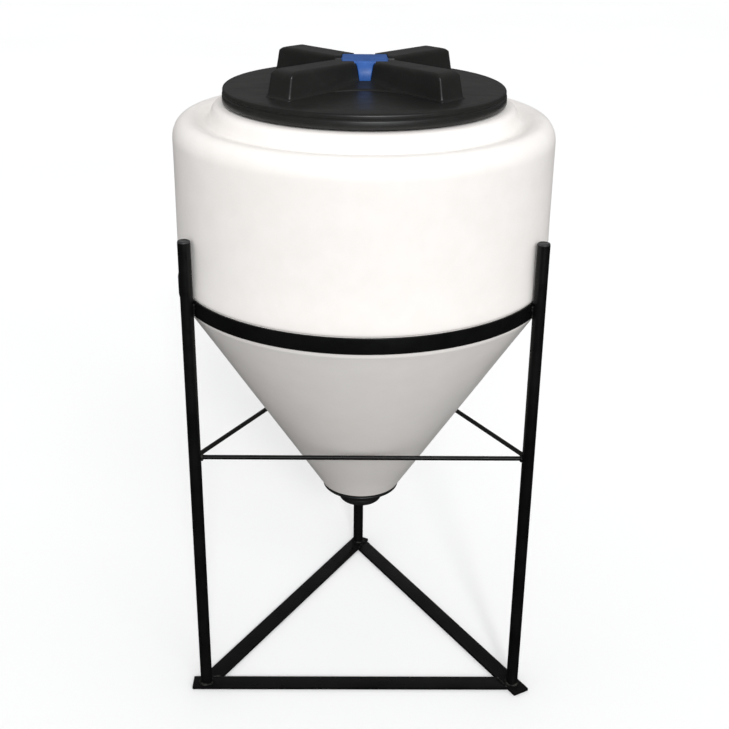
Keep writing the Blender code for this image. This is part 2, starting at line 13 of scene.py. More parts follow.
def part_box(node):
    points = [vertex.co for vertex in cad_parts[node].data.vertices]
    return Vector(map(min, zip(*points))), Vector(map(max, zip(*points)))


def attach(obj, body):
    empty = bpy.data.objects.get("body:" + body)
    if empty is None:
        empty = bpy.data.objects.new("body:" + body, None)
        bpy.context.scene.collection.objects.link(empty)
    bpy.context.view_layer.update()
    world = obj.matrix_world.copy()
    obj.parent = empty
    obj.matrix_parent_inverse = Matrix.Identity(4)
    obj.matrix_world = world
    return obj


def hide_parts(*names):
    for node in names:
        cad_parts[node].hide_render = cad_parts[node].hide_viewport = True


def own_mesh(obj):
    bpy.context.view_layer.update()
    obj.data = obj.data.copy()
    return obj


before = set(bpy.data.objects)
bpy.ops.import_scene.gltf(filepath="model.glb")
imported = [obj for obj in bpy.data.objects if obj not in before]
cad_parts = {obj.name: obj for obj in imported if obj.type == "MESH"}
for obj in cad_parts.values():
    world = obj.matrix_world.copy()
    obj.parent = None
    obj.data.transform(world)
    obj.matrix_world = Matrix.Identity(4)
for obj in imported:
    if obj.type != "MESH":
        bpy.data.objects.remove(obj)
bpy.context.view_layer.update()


def box_of(node):
    """Half the width, the lowest and the highest point of a CAD node."""
    low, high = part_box(node)
    return (high.x - low.x) / 2, low.z, high.z


def middle_of(node):
    low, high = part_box(node)
    return (low + high) / 2


AXIS = Vector((middle_of("tank_shell").x, middle_of("tank_shell").y, 0))
GAP = 0.0003  # between pieces that touch
CUT_PAST = 0.01  # how far a cutter runs past the faces that it cuts

# ---- mesh helpers


def between(a, b, c, d, t):
    """A smooth curve's value from b to c, with a before them and d after them."""
    bow = (2 * a - 5 * b + 4 * c - d) * t * t
    return 0.5 * (2 * b + (c - a) * t + bow + (3 * b - a - 3 * c + d) * t * t * t)


def curve_through(points, steps):
    """A smooth line through (radius, height) points, with steps pieces between each two."""
    made = []
    last = len(points) - 1
    for i in range(last):
        four = points[max(i - 1, 0)], points[i], points[i + 1], points[min(i + 2, last)]
        for step in range(steps):
            made.append(tuple(between(*values, step / steps) for values in zip(*four)))
    return [*made, tuple(points[-1])]


def arc(centre, across, up, start, end, steps):
    """Points of an ellipse's arc about centre, both ends included."""
    angles = [start + (end - start) * i / steps for i in range(steps + 1)]
    return [(centre[0] + across * cos(a), centre[1] + up * sin(a)) for a in angles]


def bend(first, corner, last, steps):
    """A small curve from first to last in place of the corner between them."""
    shares = [step / steps for step in range(steps + 1)]
    return [first * (1 - t) ** 2 + corner * 2 * t * (1 - t) + last * t * t for t in shares]


def rounded(corners, radius, steps=3):
    """A closed outline with its corners rounded off. radius is one number, or one per corner."""
    made = []
    count = len(corners)
    for i, corner in enumerate(corners):
        here = Vector(corner)
        before, after = Vector(corners[i - 1]), Vector(corners[(i + 1) % count])
        size = radius[i] if isinstance(radius, (list, tuple)) else radius
        if size == 0:
            made.append(tuple(here))
            continue
        reach = min(size, 0.45 * (before - here).length, 0.45 * (after - here).length)
        start = here + (before - here).normalized() * reach
        end = here + (after - here).normalized() * reach
        made += [tuple(point) for point in bend(start, here, end, steps)]
    return made


def band(inner_r, outer_r, low, high):
    """The four corners of a ring's or a rod's section."""
    return [(inner_r, low), (outer_r, low), (outer_r, high), (inner_r, high)]


def bridge(bm, here, there):
    """Faces between two closed rows of points."""
    for i in range(len(here)):
        j = (i + 1) % len(here)
        bm.faces.new((here[i], here[j], there[j], there[i]))


def turned(profile, sides):
    """A closed outline of (radius, height) points turned about Z."""
    bm = bmesh.new()
    rings = []
    for step in range(sides):
        angle = 2 * pi * step / sides
        rings.append([bm.verts.new((r * cos(angle), r * sin(angle), z)) for r, z in profile])
    for step in range(sides):
        bridge(bm, rings[step], rings[(step + 1) % sides])
    bmesh.ops.remove_doubles(bm, verts=bm.verts[:], dist=1e-6)
    bmesh.ops.dissolve_degenerate(bm, edges=bm.edges[:], dist=1e-7)
    return bm


def stacked(outlines):
    """A closed solid through level outlines, each a list of the same number of (x, y, z) points."""
    bm = bmesh.new()
    rows = [[bm.verts.new(point) for point in outline] for outline in outlines]
    bm.faces.new(rows[0][::-1])
    bm.faces.new(rows[-1])
    for here, there in zip(rows, rows[1:]):
        bridge(bm, here, there)
    return bm


def tube_along(path, radii, sides=10):
    """A round bar along a path, with a radius for each point and closed ends.

    A closed path has its first point last.
    """
    bm = bmesh.new()
    points = [Vector(point) for point in path]
    closed = (points[0] - points[-1]).length < 1e-7
    if closed:
        points = points[:-1]
    count = len(points)
    rows = []
    side = None
    for i, point in enumerate(points):
        before = points[i - 1] if closed or i else point
        after = points[(i + 1) % count] if closed or i < count - 1 else point
        along = (after - before).normalized()
        if side is None:
            side = along.orthogonal()
        side = (side - along * side.dot(along)).normalized()
        other = along.cross(side)
        row = []
        for step in range(sides):
            angle = 2 * pi * step / sides
            row.append(bm.verts.new(point + (side * cos(angle) + other * sin(angle)) * radii[i]))
        rows.append(row)
    pairs = list(zip(rows, rows[1:]))
    if closed:
        shift = nearest_shift(rows[-1], rows[0])
        pairs.append((rows[-1], rows[0][shift:] + rows[0][:shift]))
    else:
        bm.faces.new(rows[0][::-1])
        bm.faces.new(rows[-1])
    for here, there in pairs:
        bridge(bm, here, there)
    return bm


def nearest_shift(row, other):
    """How far other has to be turned so that its points meet row's."""
    return min(range(len(other)), key=lambda k: (row[0].co - other[k].co).length)


# A thread's ridge: lead, turns and height
LID_THREAD = (0.012, 1.5, 0.0035)
PLUG_THREAD = (0.005, 2, 0.0020)
RIDGE_WIDTH = 0.38  # as a share of the lead
RIDGE_ROOT = 0.0015  # how deep the ridge is rooted in its wall
RIDGE_SINK = 0.0004  # how far its two ends dip into the wall


def thread_ridge(wall_r, thread, start_z, sides, outward):
    """A helical ridge with a rounded crest on a wall, its ends run out into the wall."""
    lead, turns, height = thread
    sign = 1 if outward else -1
    width = RIDGE_WIDTH * lead
    bm = bmesh.new()
    rows = []
    steps = int(turns * sides)
    run_out = sides / 8
    for step in range(steps + 1):
        angle = 2 * pi * step / sides
        z = start_z + lead * step / sides
        rise = min(1.0, step / run_out, (steps - step) / run_out)
        crest = height * rise - RIDGE_SINK * (1 - rise)
        section = [(-RIDGE_ROOT, -0.5), (0.6 * crest, -0.36), (crest, -0.18)]
        section += [(depth, -across) for depth, across in section[::-1]]
        row = []
        for depth, across in section:
            reach = wall_r + sign * depth
            row.append(bm.verts.new((reach * cos(angle), reach * sin(angle), z + across * width)))
        rows.append(row)
    bm.faces.new(rows[0])
    bm.faces.new(rows[-1][::-1])
    for here, there in zip(rows, rows[1:]):
        bridge(bm, here, there)
    bmesh.ops.triangulate(bm, faces=[face for face in bm.faces if len(face.verts) == 4])
    return bm


def merged(meshes):
    """Several bmeshes as one."""
    bm = bmesh.new()
    for part in meshes:
        mesh = bpy.data.meshes.new("part")
        part.to_mesh(mesh)
        part.free()
        bm.from_mesh(mesh)
        bpy.data.meshes.remove(mesh)
    return bm


def shape(bm, name, sharp=35):
    """An object on the tank's axis from a bmesh, shaded smooth apart from its sharp edges."""
    bmesh.ops.recalc_face_normals(bm, faces=bm.faces[:])
    mesh = bpy.data.meshes.new(name)
    bm.to_mesh(mesh)
    bm.free()
    made = bpy.data.objects.new(name, mesh)
    bpy.context.scene.collection.objects.link(made)
    made.location = AXIS
    soften(made, sharp)
    return made


def soften(made, sharp):
    """Smooth shading, apart from edges sharper than an angle in degrees."""
    made.data.shade_smooth()
    made.data.set_sharp_from_angle(angle=radians(sharp))


def combine(target, steps, sharp=35):
    """Cut or add other shapes, given as (bmesh, "UNION" or "DIFFERENCE"), and keep the result."""
    for i, (bm, operation) in enumerate(steps):
        other = shape(bm, f"{target.name}_step_{i}")
        change = target.modifiers.new(f"step_{i}", "BOOLEAN")
        change.object = other
        change.operation = operation
        change.solver = "EXACT"
    graph = bpy.context.evaluated_depsgraph_get()
    mesh = bpy.data.meshes.new_from_object(target.evaluated_get(graph))
    others = [change.object for change in target.modifiers]
    target.modifiers.clear()
    target.data = mesh
    for other in others:
        bpy.data.objects.remove(other)
    soften(target, sharp)


def finish_piece(piece, body, material, nodes):
    """Give a piece its material and its body, and hide the CAD nodes that it stands in for."""
    piece.data.materials.clear()
    piece.data.materials.append(material)
    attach(piece, body)
    if nodes:
        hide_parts(*nodes)


# ---- materials


class Surface:
    """A Principled material with a few procedural layers on it, in the object's own coordinates."""

    def __init__(self, name, roughness=0.5, **settings):
        self.material = bpy.data.materials.new(name)
        self.material.use_nodes = True
        self.tree = self.material.node_tree
        self.shader = self.tree.nodes["Principled BSDF"]
        self.place = self.node("TexCoord").outputs["Object"]
        self.shader.inputs["Roughness"].default_value = roughness
        for socket, value in settings.items():
            self.shader.inputs[socket.replace("_", " ")].default_value = value
        self.bump_out = None

    def link(self, output, socket):
        self.tree.links.new(output, socket)

    def node(self, kind, **values):
        """A new node, with its inputs set by name."""
        made = self.tree.nodes.new("ShaderNode" + kind)
        for socket, value in values.items():
            made.inputs[socket.replace("_", " ")].default_value = value
        return made

    def stretched(self, scale, turn=(0, 0, 0)):
        mapping = self.node("Mapping", Scale=scale, Rotation=turn)
        self.link(self.place, mapping.inputs["Vector"])
        return mapping.outputs["Vector"]

    def noise(self, scale, detail=3.0, roughness=0.55, place=None, offset=0.0):
        node = self.node("TexNoise", Scale=scale, Detail=detail, Roughness=roughness)
        node.noise_dimensions = "4D"
        node.inputs["W"].default_value = offset
        self.link(place or self.place, node.inputs["Vector"])
        return node.outputs["Fac"]

    def spread(self, value, low, high, to_low=0.0, to_high=1.0):
        """value from low..high to to_low..to_high, clamped."""
        node = self.node("MapRange", From_Min=low, From_Max=high, To_Min=to_low, To_Max=to_high)
        self.link(value, node.inputs["Value"])
        return node.outputs["Result"]

    def times(self, first, second):
        node = self.node("Math")
        node.operation = "MULTIPLY"
        self.link(first, node.inputs[0])
        self.link(second, node.inputs[1])
        return node.outputs["Value"]

    def height(self):
        """The height of a point above the floor."""
        node = self.node("SeparateXYZ")
        self.link(self.place, node.inputs["Vector"])
        return node.outputs["Z"]

    def blend(self, factor, first, second):
        """A mix of two colours, each a tuple or another layer's output."""
        node = self.node("Mix")
        node.data_type = "RGBA"
        self.link(factor, node.inputs["Factor"])
        for socket, colour in ((node.inputs[6], first), (node.inputs[7], second)):
            if isinstance(colour, tuple):
                socket.default_value = (*colour, 1.0)
            else:
                self.link(colour, socket)
        return node.outputs[2]

    def colour(self, output):
        self.link(output, self.shader.inputs["Base Color"])

    def roughness(self, output):
        self.link(output, self.shader.inputs["Roughness"])

    def bump(self, height, strength, distance):
        node = self.node("Bump", Strength=strength, Distance=distance)
        self.link(height, node.inputs["Height"])
        if self.bump_out:
            self.link(self.bump_out, node.inputs["Normal"])
        self.bump_out = node.outputs["Normal"]
        self.link(self.bump_out, self.shader.inputs["Normal"])


def tank_plastic():
    """Rotationally moulded polyethylene: milky, softly mottled, with a fine orange peel, and painted
    shade that darkens it towards the bottom.
    """
    surface = Surface("tank_plastic", IOR=1.5)
    cloud = surface.noise(2.6, detail=2.0)
    fine = surface.noise(24.0, detail=4.0, offset=3.0)
    milky = surface.blend(surface.spread(cloud, 0.3, 0.7), TANK_WARM, TANK_COOL)
    mottled = surface.blend(surface.spread(fine, 0.35, 0.75, 0.0, 0.5), milky, TANK_SHADE)
    # painted shade: the colour darkens towards the bottom, where the cone faces down and gets less
    # light
    low = surface.spread(surface.height(), 0.42, 0.95, 0.55, 0.0)
    surface.colour(surface.blend(low, mottled, TANK_LOW_PAINTED_SHADE))
    surface.roughness(surface.spread(surface.noise(14.0, offset=7.0), 0.3, 0.7, 0.36, 0.48))
    surface.bump(surface.noise(7.0, detail=2.0, offset=5.0), 0.25, 0.004)
    surface.bump(surface.noise(320.0, detail=2.0), 0.10, 0.0005)
    return surface.material


def stand_paint():
    """Black enamel on mill-finish steel, with a little texture and small rusty chips."""
    surface = Surface("stand_paint", Specular_IOR_Level=0.20)
    cloud = surface.noise(11.0, offset=1.0)
    coat = surface.blend(surface.spread(cloud, 0.3, 0.7), PAINT_DARK, PAINT_LIGHT)
    chips = surface.spread(surface.noise(95.0, detail=5.0, roughness=0.7), 0.70, 0.74)
    patch = surface.spread(surface.noise(4.5, offset=9.0), 0.50, 0.62, 0.0, 0.35)
    surface.colour(surface.blend(surface.times(chips, patch), coat, PAINT_CHIP))
    surface.roughness(surface.spread(surface.noise(38.0, offset=4.0), 0.3, 0.7, 0.22, 0.42))
    surface.bump(surface.noise(150.0, detail=3.0, offset=2.0), 0.16, 0.0006)
    return surface.material


def weld_paint():
    """The same enamel over weld beads, where it pools and dulls and lets a little spatter show."""
    surface = Surface("weld_paint", Specular_IOR_Level=0.25)
    spots = surface.noise(120.0, detail=4.0, offset=6.0)
    surface.colour(surface.blend(surface.spread(spots, 0.48, 0.72), PAINT_DARK, WELD_SPOT))
    surface.roughness(surface.spread(spots, 0.3, 0.7, 0.30, 0.55))
    surface.bump(surface.noise(260.0, detail=4.0), 0.35, 0.0012)
    return surface.material


def lid_plastic():
    """Satin black moulded plastic with a fine grain, faint rubs and a little dust."""
    surface = Surface("lid_plastic", IOR=1.46)
    cloud = surface.noise(9.0, offset=1.0)
    dust = surface.noise(42.0, detail=6.0, roughness=0.7, offset=5.0)
    body = surface.blend(surface.spread(cloud, 0.3, 0.7), LID_DARK, LID_LIGHT)
    surface.colour(surface.blend(surface.spread(dust, 0.56, 0.80, 0.0, 0.45), body, LID_DUST))
    rubs = surface.noise(16.0, detail=5.0, place=surface.stretched((1.0, 2.2, 1.0), (0, 0, 0.7)))
    surface.roughness(surface.spread(rubs, 0.3, 0.7, 0.31, 0.41))
    surface.bump(surface.noise(650.0, detail=2.0), 0.14, 0.0004)
    surface.bump(surface.noise(26.0, detail=2.0, offset=8.0), 0.10, 0.0016)
    return surface.material


def grained_plastic(name, dark, light, low_rough, high_rough, grain=420.0):
    """Moulded plastic or rubber: two close shades, uneven gloss and a fine grain."""
    surface = Surface(name, IOR=1.47)
    cloud = surface.noise(60.0, detail=4.0, offset=2.0)
    surface.colour(surface.blend(surface.spread(cloud, 0.3, 0.7), dark, light))
    surface.roughness(surface.spread(surface.noise(90.0), 0.3, 0.7, low_rough, high_rough))
    surface.bump(surface.noise(grain, detail=3.0), 0.18, 0.0004)
    return surface.material


def brushed_steel():
    """Bare stainless steel with fine lines drawn along it."""
    surface = Surface("brushed_steel", Metallic=1.0)
    lines = surface.noise(55.0, detail=5.0, place=surface.stretched((1.0, 1.0, 18.0)))
    surface.colour(surface.blend(lines, STEEL_DARK, STEEL_LIGHT))
    surface.roughness(surface.spread(lines, 0.3, 0.7, 0.22, 0.38))
    surface.bump(lines, 0.08, 0.0003)
    return surface.material


TANK_WARM = (0.91, 0.868, 0.835)
TANK_COOL = (0.89, 0.865, 0.84)
TANK_SHADE = (0.84, 0.80, 0.765)
# painted shade: the colour the tank darkens to towards its bottom
TANK_LOW_PAINTED_SHADE = (0.44, 0.415, 0.39)
PAINT_DARK = (0.0026, 0.0026, 0.0027)
PAINT_LIGHT = (0.0055, 0.0055, 0.0054)
PAINT_CHIP = (0.055, 0.042, 0.033)
WELD_SPOT = (0.045, 0.045, 0.038)
LID_DARK = (0.0120, 0.0120, 0.0114)
LID_LIGHT = (0.0185, 0.0185, 0.0174)
LID_DUST = (0.040, 0.040, 0.037)
CAP_DARK, CAP_LIGHT = (0.020, 0.020, 0.022), (0.034, 0.034, 0.036)
VENT_DARK, VENT_LIGHT = (0.014, 0.074, 0.285), (0.024, 0.112, 0.405)
FITTING_DARK, FITTING_LIGHT = (0.008, 0.008, 0.008), (0.013, 0.013, 0.013)
SEAL_DARK, SEAL_LIGHT = (0.012, 0.012, 0.012), (0.024, 0.024, 0.023)
STEEL_DARK, STEEL_LIGHT = (0.52, 0.52, 0.51), (0.70, 0.70, 0.68)
FLOOR_DARK, FLOOR_LIGHT = (0.93, 0.93, 0.93), (0.95, 0.95, 0.95)

TANK_FINISH = tank_plastic()
STAND_FINISH = stand_paint()
WELD_FINISH = weld_paint()
LID_FINISH = lid_plastic()
CAP_FINISH = grained_plastic("cap_plastic", CAP_DARK, CAP_LIGHT, 0.38, 0.50)
VENT_FINISH = grained_plastic("vent_plastic", VENT_DARK, VENT_LIGHT, 0.38, 0.50)
FITTING_FINISH = grained_plastic("fitting_plastic", FITTING_DARK, FITTING_LIGHT, 0.3, 0.42)
SEAL_FINISH = grained_plastic("seal_rubber", SEAL_DARK, SEAL_LIGHT, 0.65, 0.85, 260.0)
STEEL_FINISH = brushed_steel()

# ---- tank

SIDES = 224
WALL = 0.006
CONE_SLOPE = radians(57.5)
TIP_R, TIP_UP = 0.0865, 0.0025  # where the cone's side begins, above the flat under it
FOOT_T = 0.007
OUTLET_HOLE_R = 0.0415
SEAT_IN = 0.0052  # the hoop's thickness and the gap inside it
SWELL, SWELL_H = 0.0012, 0.065  # the wall's swelling above the hoop, and its height
SHOULDER_IN, SHOULDER_UP = 0.031, 0.040
SHOULDER_DEPTH = 0.065  # from the top of the collar down to where the shoulder begins
# From the shoulder's crown into the gutter and up the collar: radius, and height from the crown
GUTTER_OUTSIDE = (
    (0.337, -0.0015), (0.325, -0.0065), (0.316, -0.0090), (0.3105, -0.0065),
    (0.3065, 0.0010), (0.3025, 0.0140), (0.2975, 0.0205), (0.2910, 0.0240),
)
GUTTER_INSIDE = (
    (0.2925, 0.0165), (0.2970, 0.0110), (0.3010, -0.0030), (0.306, -0.0120),
    (0.316, -0.0152), (0.3265, -0.0122), (0.339, -0.0075),
)
COLLAR_FLAT_R = 0.284
MOUTH_R = 0.248
LIP = 0.0035  # rounding of the mouth's edge
SLEEVE_H = 0.046
SWAY, SWAY_IN = 0.0011, 0.0006  # height of the wall's unevenness, and how far it is moved in
SWAY_CLEAR, SWAY_FADE = 0.045, 0.10  # how far from the hoop it starts, and takes to grow
SWAY_FROM_R = 0.30


def sway_wall(tank):
    """The slight unevenness of a rotationally moulded wall, none where it sits in the hoop."""
    _, hoop_low, hoop_high = box_of("support_ring")
    for vertex in tank.data.vertices:
        radius = vertex.co.xy.length
        away = abs(vertex.co.z - (hoop_low + hoop_high) / 2)
        free = min(1.0, max(0.0, (away - SWAY_CLEAR) / SWAY_FADE))
        if radius < SWAY_FROM_R or free == 0:
            continue
        x, y = vertex.co.xy / radius
        place = Vector((2.2 * x, 2.2 * y, 5.0 * vertex.co.z))
        reach = radius + free * (SWAY * noise.noise(place) - SWAY_IN)
        vertex.co.xy = (x * reach, y * reach)


def tank_profile():
    """The tank's section: outside going up, in through the mouth, and down inside."""
    widest, bottom, top = box_of("tank_shell")
    tank_r = widest - SWELL
    hoop_r, hoop_low, hoop_high = box_of("support_ring")
    seat_r = hoop_r - SEAT_IN
    tip_z = bottom + TIP_UP

    def cone(radius):
        return (radius, tip_z + (radius - TIP_R) * tan(CONE_SLOPE))

    shoulder_z = top - SHOULDER_DEPTH
    crown_r, crown_top = tank_r - SHOULDER_IN, shoulder_z + SHOULDER_UP
    outside = [(OUTLET_HOLE_R, bottom), (TIP_R - 0.006, bottom)]
    edge = [(TIP_R - 0.003, bottom), (TIP_R - 0.0005, bottom + 0.0012), cone(TIP_R + 0.001)]
    outside += curve_through(edge, 3)
    outside += [cone(r) for r in (0.12, 0.17, 0.22, 0.27, 0.32, 0.36)]
    seat = [cone(seat_r - 0.006), cone(seat_r - 0.0022), (seat_r, hoop_low - 0.0002)]
    outside += curve_through(seat, 3)
    ledge = hoop_high + 0.0006
    swelling = ((0.0006, 0.0040), (0.0011, 0.016), (0.0006, 0.036), (0.0, SWELL_H))
    swell = [(seat_r, ledge)] + [(tank_r + out, ledge + rise) for out, rise in swelling]
    outside += curve_through(swell, 4)
    wall_h = shoulder_z - ledge - SWELL_H
    outside += [(tank_r, ledge + SWELL_H + wall_h * i / 8) for i in range(1, 8)]
    outside += arc((crown_r, shoulder_z), SHOULDER_IN, SHOULDER_UP, 0, pi / 2, 14)
    gutter = [(r, crown_top + rise) for r, rise in GUTTER_OUTSIDE]
    outside += curve_through([(crown_r, crown_top), *gutter, (COLLAR_FLAT_R, top)], 4)[1:]
    mouth = [(MOUTH_R + 0.004, top)]
    mouth += arc((MOUTH_R + LIP, top - LIP), LIP, LIP, pi / 2, pi, 4)
    sleeve_z = top - SLEEVE_H
    mouth += [(MOUTH_R, sleeve_z), (MOUTH_R + 0.0015, sleeve_z - 0.0015)]
    mouth += [(MOUTH_R + 0.0045, sleeve_z - 0.0015), (MOUTH_R + WALL, sleeve_z)]
    under = (COLLAR_FLAT_R, top - WALL)
    mouth += [(MOUTH_R + WALL, top - WALL), under]
    gutter = [(r, crown_top + rise) for r, rise in GUTTER_INSIDE]
    inside = curve_through([under, *gutter, (crown_r, crown_top - WALL)], 3)[1:]
    curve = arc((crown_r, shoulder_z), SHOULDER_IN - WALL, SHOULDER_UP - WALL, pi / 2, 0, 8)
    inside += curve[1:]
    inside += [(tank_r - WALL, ledge + 0.03), (seat_r - WALL, ledge)]
    inside += [(seat_r - WALL, hoop_low + 0.002)]
    slant = WALL / sin(CONE_SLOPE)
    inside += [(r - slant, cone(r)[1]) for r in (0.34, 0.27, 0.20, 0.13)]
    floor_z = bottom + FOOT_T
    floor_r = TIP_R - slant + (floor_z - tip_z) / tan(CONE_SLOPE)
    inside += [(floor_r, floor_z), (OUTLET_HOLE_R, floor_z)]
    return outside + mouth + inside


def make_tank():
    tank = shape(turned(tank_profile(), SIDES), "tank_moulding")
    start_z = box_of("tank_shell")[2] - 0.0275
    combine(tank, [(thread_ridge(MOUTH_R, LID_THREAD, start_z, SIDES, False), "UNION")])
    sway_wall(tank)
    finish_piece(tank, "tank", TANK_FINISH, ["tank_shell"])


# ---- lid

LID_R, LID_LOW, GRIP_TOP = box_of("lid")
RIM_BOTTOM = LID_LOW + 0.0417
CROWN = LID_LOW + 0.078
CROWN_DROP = 0.008
GRIP_TOP_L, GRIP_FOOT_L = 0.2215, 0.2290
GRIP_TOP_W, GRIP_FOOT_W = 0.0290, 0.0312
GRIP_CORNER = 0.0055
WEB_CENTRE, WEB_R = 0.235, 0.139  # the circle that the web between two grips ends on
WEB_END = 0.040  # how far past that circle's centre the web reaches along a grip
SKIRT_R, SKIRT_IN_R = 0.2430, 0.2360
STEM_BORE_R = 0.007
VENT_TOP = box_of("vent_cap")[2]


def crown_z(radius):
    return CROWN - CROWN_DROP * (radius / LID_R) ** 2


def octant(length, half_width, corner, inner):
    """Half an arm of a plus shape: from the gap between two arms to the arm's end, along +X."""
    start, end = half_width + inner, length - corner
    points = arc((start, start), inner, inner, radians(225), radians(270), 6)
    shares = (0.08, 0.18, 0.30, 0.42, 0.54, 0.65, 0.75, 0.83, 0.89, 0.93, 0.96, 0.985)
    points += [(start + (end - start) * share, half_width) for share in shares]
    points += arc((end, half_width - corner), corner, corner, pi / 2, 0, 6)
    points += [(length, (half_width - corner) * share) for share in (0.66, 0.33, 0.0)]
    return points


def web_outline():
    """Where the webs and grips meet the disc, point by point beside octant's outline."""
    flat = octant(GRIP_FOOT_L + 0.0025, GRIP_FOOT_W + 0.0022, 0.006, 0.012)
    made = []
    centre = WEB_CENTRE * cos(pi / 4)
    for u, v in flat:
        if u < centre + WEB_END and v > GRIP_FOOT_W:
            # straight out from the wall along the line from the web's centre
            away = Vector((u - centre, v - centre))
            on_web = Vector((centre, centre)) + away.normalized() * WEB_R
            share = min(1.0, max(0.0, (centre + WEB_END - u) / 0.020))
            u, v = u + (on_web.x - u) * share, v + max(0.0, on_web.y - v) * share
        made.append((u, v))
    return made


def grip_drop(u, v):
    """How far the grip's top is below its flat at a point, by the rounding of its sides and end."""
    drops = []
    for past, reach, depth in ((v - GRIP_TOP_W, 0.009, 0.008), (u - GRIP_TOP_L, 0.022, 0.013)):
        share = min(1.0, max(0.0, (past + reach) / reach))
        drops.append(depth * (1 - (1 - share**2) ** 0.5))
    return hypot(*drops)


def toward(corner, other, reach):
    """A point that far from corner on the way to other, short of half-way."""
    return corner + (other - corner).normalized() * min(reach, 0.45 * (other - corner).length)


def octant_columns():
    """One list of points per place around an octant, from the grip's flat top out to the disc."""
    rings = []
    for share in (0.0, 0.35, 0.62, 0.82, 0.94, 1.0):
        inset = (1 - share) * 0.010
        ring = octant(GRIP_TOP_L - 2.4 * inset, GRIP_TOP_W - inset, GRIP_CORNER, 0.006 + inset)
        rings.append([Vector((u, v, GRIP_TOP - grip_drop(u, v))) for u, v in ring])
    foot = octant(GRIP_FOOT_L, GRIP_FOOT_W, GRIP_CORNER, 0.006)
    web = web_outline()
    columns = []
    for i in range(len(foot)):
        base = Vector((*web[i], 0))
        base.z = crown_z(base.length)
        wall_foot = Vector((*foot[i], 0))
        width = (base - wall_foot).xy.length
        wall_foot.z = base.z + 0.0030 + 0.23 * width
        lip = base + Vector((0, 0, 0.0018))
        top = rings[-1][i]
        column = [ring[i] for ring in rings]
        column += [top.lerp(wall_foot, share) for share in (0.12, 0.35, 0.60)]
        first, last = (toward(wall_foot, point, 0.008) for point in (top, lip))
        column += bend(first, wall_foot, last, 4)
        for share in (0.6, 0.8):
            sag = Vector((0, 0, 0.10 * width * share * (1 - share)))
            column.append(wall_foot.lerp(lip, share) - sag)
        out = base.xy.normalized() * 0.0016
        column += [lip, lip + Vector((out.x * 0.6, out.y * 0.6, -0.0007))]
        column.append(base + Vector((out.x, out.y, 0)))
        columns.append(column)
    return columns


def around_lid(columns):
    """The octant's columns repeated and mirrored right round the lid."""
    made = []
    for arm in range(4):
        turn = Matrix.Rotation(pi / 4 + arm * pi / 2, 3, "Z")
        for column in columns:
            made.append([turn @ Vector((p.x, -p.y, p.z)) for p in column])
        for column in columns[-2:0:-1]:
            made.append([turn @ p for p in column])
    return made


def rim_profile():
    """The lid's section: the disc's edge, the rim, the skirt and the crown's underside."""
    edge = [(LID_R - 0.0085, crown_z(LID_R - 0.0085)), (LID_R - 0.0060, crown_z(LID_R) - 0.0004)]
    edge += arc((LID_R - 0.0052, CROWN - 0.0135), 0.0040, 0.0050, radians(78), 0, 5)
    groove = ((0.0012, 0.0165), (0.0024, 0.0178), (0.0024, 0.0192), (0.0008, 0.0204))
    edge += [(LID_R - inset, CROWN - drop) for inset, drop in (*groove, (0.0001, 0.0216))]
    lip = ((0, 0.0020), (0.0006, 0.0005), (0.0018, 0), (0.0048, 0), (0.0052, 0.0023))
    edge += [(LID_R - inset, RIM_BOTTOM + rise) for inset, rise in lip]
    flange = RIM_BOTTOM + 0.0023
    edge += [(SKIRT_R + 0.002, flange), (SKIRT_R, flange - 0.002)]
    skirt = ((SKIRT_R, 0.0025), (0.2418, 0.0006), (0.2400, 0), (0.2375, 0), (0.2362, 0.0010))
    edge += [(radius, LID_LOW + rise) for radius, rise in (*skirt, (SKIRT_IN_R, 0.004))]
    edge += [(SKIRT_IN_R, crown_z(SKIRT_IN_R) - 0.0060)]
    edge += [(r, crown_z(r) - 0.0045) for r in (0.2335, 0.20, 0.16, 0.12, 0.08, 0.053)]
    hub = CROWN - 0.0095
    return edge + [(0.0500, hub + 0.001), (0.0490, hub), (0.020, hub)]


def lid_skin():
    """The lid as one closed skin: grips, webs, disc, rim and skirt."""
    columns = around_lid(octant_columns())
    count = len(columns)
    profile = rim_profile()
    bm = bmesh.new()
    rows = []
    for i, column in enumerate(columns):
        last = column[-1]
        plain = 2 * pi * i / count
        angle = atan2(last.y, last.x) % (2 * pi)
        gap = (plain - angle + pi) % (2 * pi) - pi
        out = angle + 0.65 * gap
        edge = Vector((profile[0][0] * cos(out), profile[0][0] * sin(out), 0))
        row = list(column)
        for share in (0.08, 0.22, 0.42, 0.64, 0.84):
            point = last.lerp(edge, share)
            point.z = crown_z(point.xy.length)
            row.append(point)
        row += [Vector((r * cos(out), r * sin(out), z)) for r, z in profile]
        rows.append([bm.verts.new(point) for point in row])
    for i in range(count):
        here, there = rows[i], rows[(i + 1) % count]
        for j in range(len(here) - 1):
            bm.faces.new((here[j], here[j + 1], there[j + 1], there[j]))
    bm.faces.new([row[0] for row in rows])
    bm.faces.new([row[-1] for row in rows][::-1])
    bmesh.ops.remove_doubles(bm, verts=bm.verts[:], dist=1e-6)
    return bm


def cross_outline(reach, half_width, inner, corner, z):
    """A plus shape of four equal lobes with filleted inner corners and rounded outer ones."""
    gap = half_width + inner
    lobe = arc((gap, gap), inner, inner, radians(270), radians(180), 6)
    lobe = [(x, y) for x, y in lobe if y < reach - corner]
    lobe += arc((half_width - corner, reach - corner), corner, corner, 0, pi / 2, 3)
    lobe += arc((corner - half_width, reach - corner), corner, corner, pi / 2, pi, 3)
    points = []
    for quarter in range(4):
        turn = Matrix.Rotation(quarter * pi / 2, 2)
        points += [(*(turn @ Vector(point)), z) for point in lobe]
    return points


VENT_PLATE = 0.0445  # half-width of the square plate on top of the lobes
VENT_PLATE_T = 0.005
VENT_GAP = 0.0007  # around it in the lid
VENT_REACH, VENT_FOOT = box_of("vent_cap")[:2]
